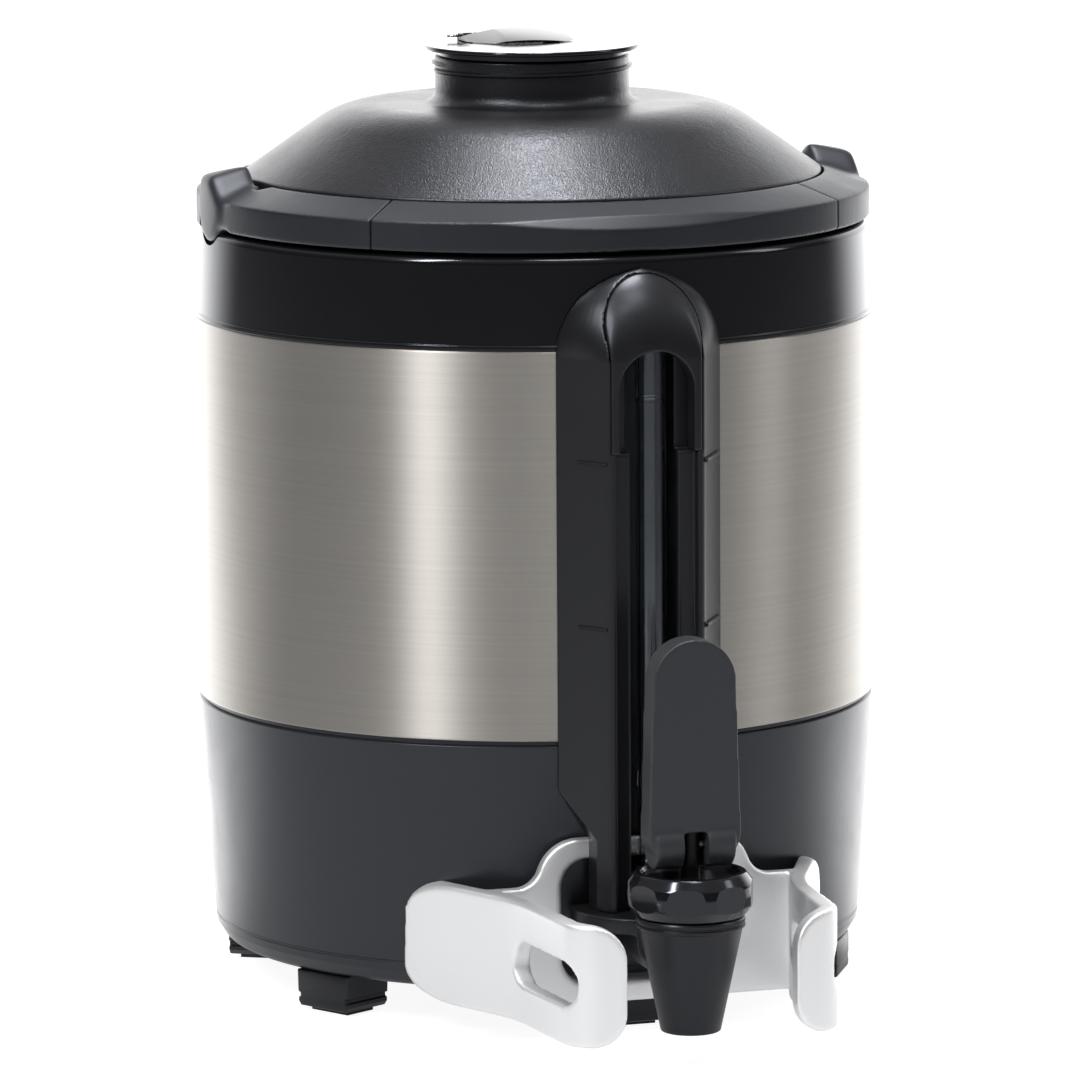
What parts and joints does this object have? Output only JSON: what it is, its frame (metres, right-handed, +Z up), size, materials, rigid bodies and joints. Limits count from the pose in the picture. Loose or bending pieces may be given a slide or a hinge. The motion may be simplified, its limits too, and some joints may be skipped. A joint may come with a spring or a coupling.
{
  "type": "coffee server",
  "caption": "Insulated cylindrical coffee server with a steel body, dome lid with brew-through neck, swing bail, sight gauge, self-closing paddle faucet and cast faucet guard.",
  "frame": {"origin": "on the body's upright axis at the level of the surface it stands on", "axes": "+Z up along the body's axis, -Y towards the faucet at the front, +X to the right seen from the front"},
  "size_m": [0.225, 0.2948, 0.3139],
  "materials": {
    "charcoal_plastic": "semi-matte moulded plastic",
    "black_satin": "satin moulded plastic",
    "black_gloss": "polished moulded plastic",
    "slate_plastic": "fine matte moulded plastic",
    "brushed_steel": "horizontally brushed stainless steel",
    "plain_steel": "plain turned steel",
    "dark_steel": "blackened turned steel",
    "cast_aluminium": "satin cast and tumbled",
    "black_rubber": "soft moulded rubber",
    "silicone": "translucent food-grade silicone",
    "insulation": "fibre insulation blanket",
    "clear_tube": "clear drawn tube"
  },
  "bodies": {
    "server": {"base_housing": "charcoal_plastic", "base_plate": "black_satin", "base_feet": "black_satin", "foot_pads": "black_rubber", "base_screws": "plain_steel", "outer_shell": "brushed_steel", "top_collar": "black_gloss", "rear_rim": "slate_plastic", "inner_vessel": "plain_steel", "insulation_jacket": "insulation", "outlet_shank": "plain_steel", "shank_nut": "plain_steel", "shank_seal": "black_rubber", "gauge_elbow": "black_satin", "gauge_column": "black_satin", "gauge_cap": "black_satin", "gauge_tube": "clear_tube", "gauge_seals": "black_rubber", "gauge_screws": "plain_steel", "guard_bracket": "cast_aluminium", "guard_screws": "plain_steel", "faucet_body": "black_satin", "faucet_bonnet": "black_gloss", "faucet_spring": "plain_steel"},
    "bail": {"bail_arms": "slate_plastic", "bail_grip": "slate_plastic", "bail_pins": "plain_steel"},
    "lid": {"lid_dome": "black_satin", "lid_liner": "black_satin", "lid_gasket": "silicone", "brew_tube": "black_satin"},
    "stopper": {"stopper": "black_gloss", "stopper_seal": "silicone", "flap_pin": "plain_steel"},
    "flap": {"flip_flap": "black_gloss"},
    "stem": {"faucet_stem": "dark_steel", "seat_cup": "silicone"},
    "handle": {"faucet_handle": "charcoal_plastic", "handle_pin": "plain_steel"}
  },
  "joints": [
    {"name": "bail_swing", "type": "hinge", "parent": "server", "child": "bail", "pos_m": [0, 0, 0.2603], "axis": [-1, 0, 0], "range_deg": [0, 105]},
    {"name": "lid_lift", "type": "slide", "parent": "server", "child": "lid", "axis": [0, 0, 1], "range_m": [0, 0.26]},
    {"name": "stopper_lift", "type": "slide", "parent": "lid", "child": "stopper", "axis": [0, 0, 1], "range_m": [0, 0.08]},
    {"name": "flap_flip", "type": "hinge", "parent": "stopper", "child": "flap", "pos_m": [0, 0.018, 0.31105], "axis": [-1, 0, 0], "range_deg": [0, 100]},
    {"name": "stem_slide", "type": "slide", "parent": "server", "child": "stem", "axis": [0, 0, 1], "range_m": [0, 0.0055], "deforming": ["faucet_spring"]},
    {"name": "handle_tilt", "type": "hinge", "parent": "stem", "child": "handle", "pos_m": [0, -0.16, 0.0705], "axis": [1, 0, 0], "range_deg": [0, 60], "stiffness_Nm_per_rad": 0.15, "springref_deg": -20.05}
  ],
  "couplings": [
    {"joint": "stem_slide", "follows": "handle_tilt", "m_per_rad": 0.004775}
  ]
}
